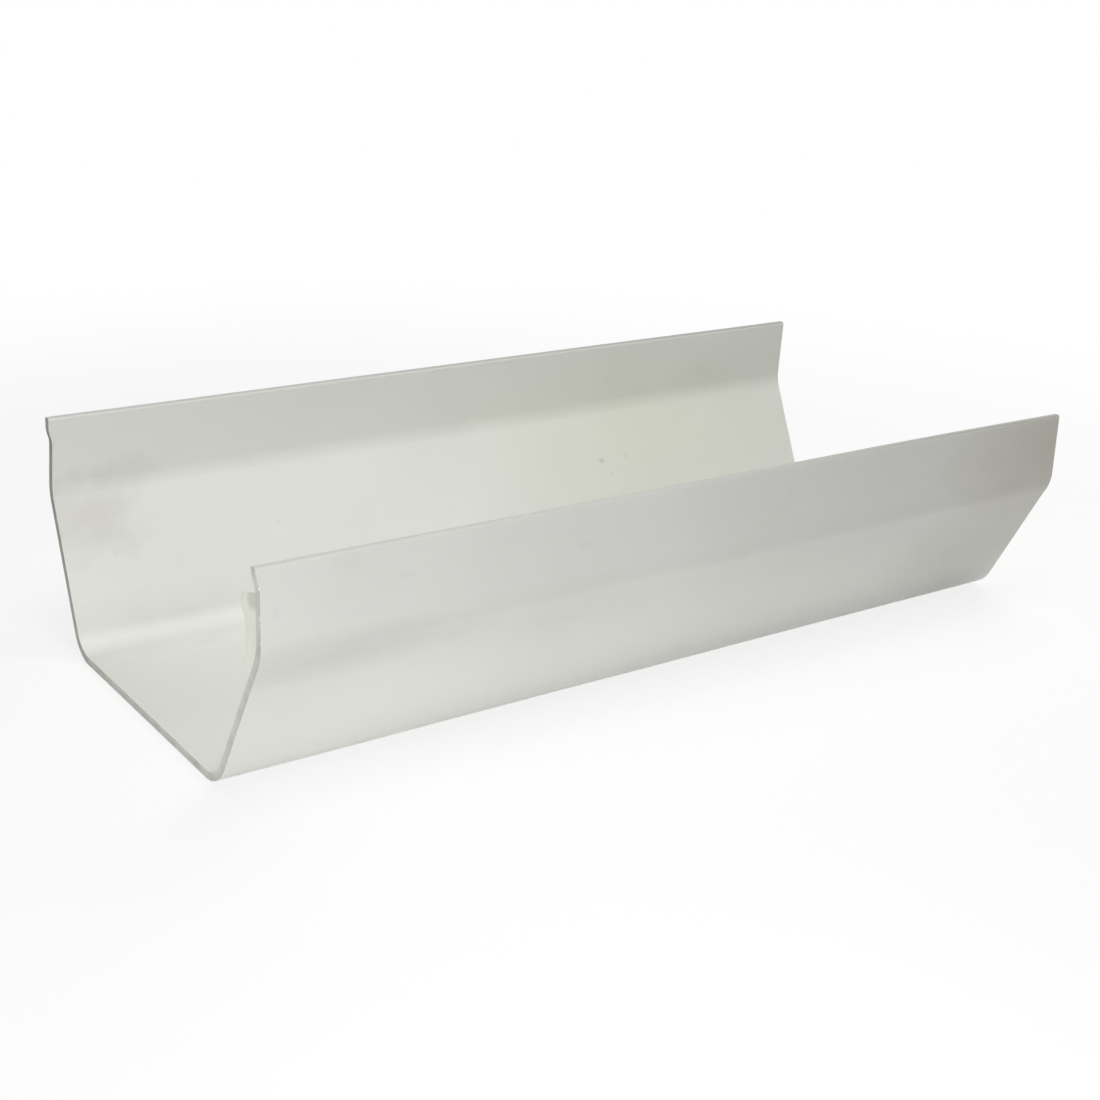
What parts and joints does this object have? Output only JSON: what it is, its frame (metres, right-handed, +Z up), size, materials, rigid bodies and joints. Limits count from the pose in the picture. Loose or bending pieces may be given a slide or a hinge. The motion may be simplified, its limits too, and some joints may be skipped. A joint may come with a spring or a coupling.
{
  "type": "gutter section",
  "caption": "Straight sawn length of white plastic rain gutter: an open channel with a flat floor, sloping lower walls and upright upper walls that end in plain rims.",
  "frame": {"origin": "middle of the length and width, on the underside of the floor", "axes": "+X along the channel, -Y towards the front wall, +Y towards the back wall, +Z up out of the open top"},
  "size_m": [0.242, 0.1138, 0.057],
  "materials": {
    "upvc": "satin white rigid pvc, a little weathered, with sawn ends"
  },
  "bodies": {
    "root": {"gutter": "upvc"}
  },
  "joints": []
}
